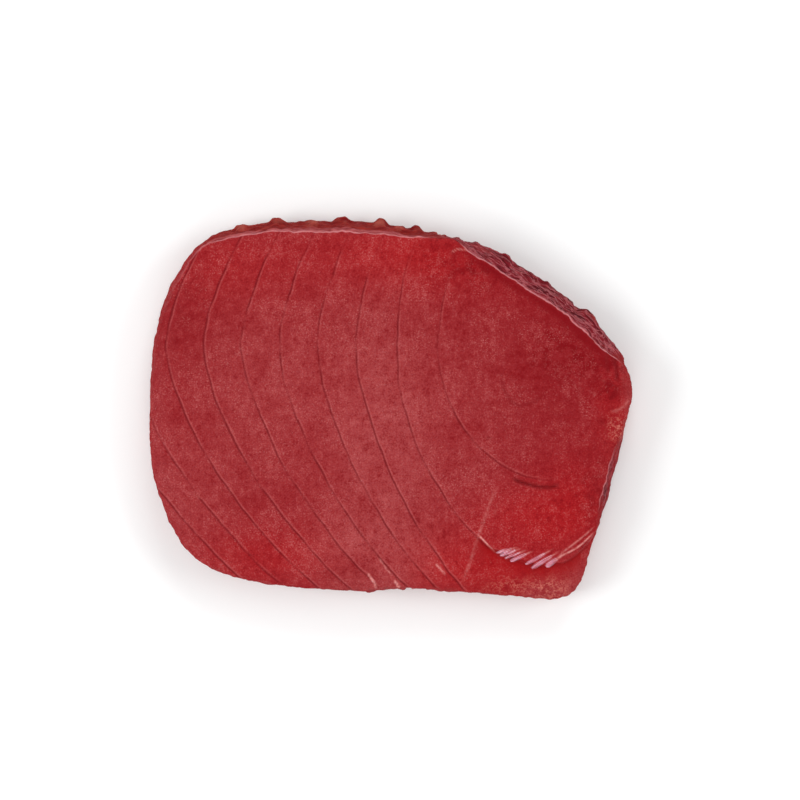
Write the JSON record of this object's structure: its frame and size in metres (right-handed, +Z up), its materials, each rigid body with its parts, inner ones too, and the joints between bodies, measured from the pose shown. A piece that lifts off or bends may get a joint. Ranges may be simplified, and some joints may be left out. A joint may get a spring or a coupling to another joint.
{
  "type": "raw tuna steak",
  "caption": "Thick slice of raw tuna lying on its cut face, with curved muscle bands, a short slit, a torn step near one corner and thin membrane on one leaning side.",
  "frame": {"origin": "middle of the underside's box, on the surface that the steak lies on", "axes": "+X along the steak's length towards its narrow torn end, +Y towards the long membrane side, +Z up through the upper cut face"},
  "size_m": [0.1236, 0.0978, 0.017],
  "materials": {
    "raw_flesh": "raw red fish flesh, moist satin, with thin greyish membrane on the leaning side"
  },
  "bodies": {
    "root": {"tuna_steak": "raw_flesh"}
  },
  "joints": []
}
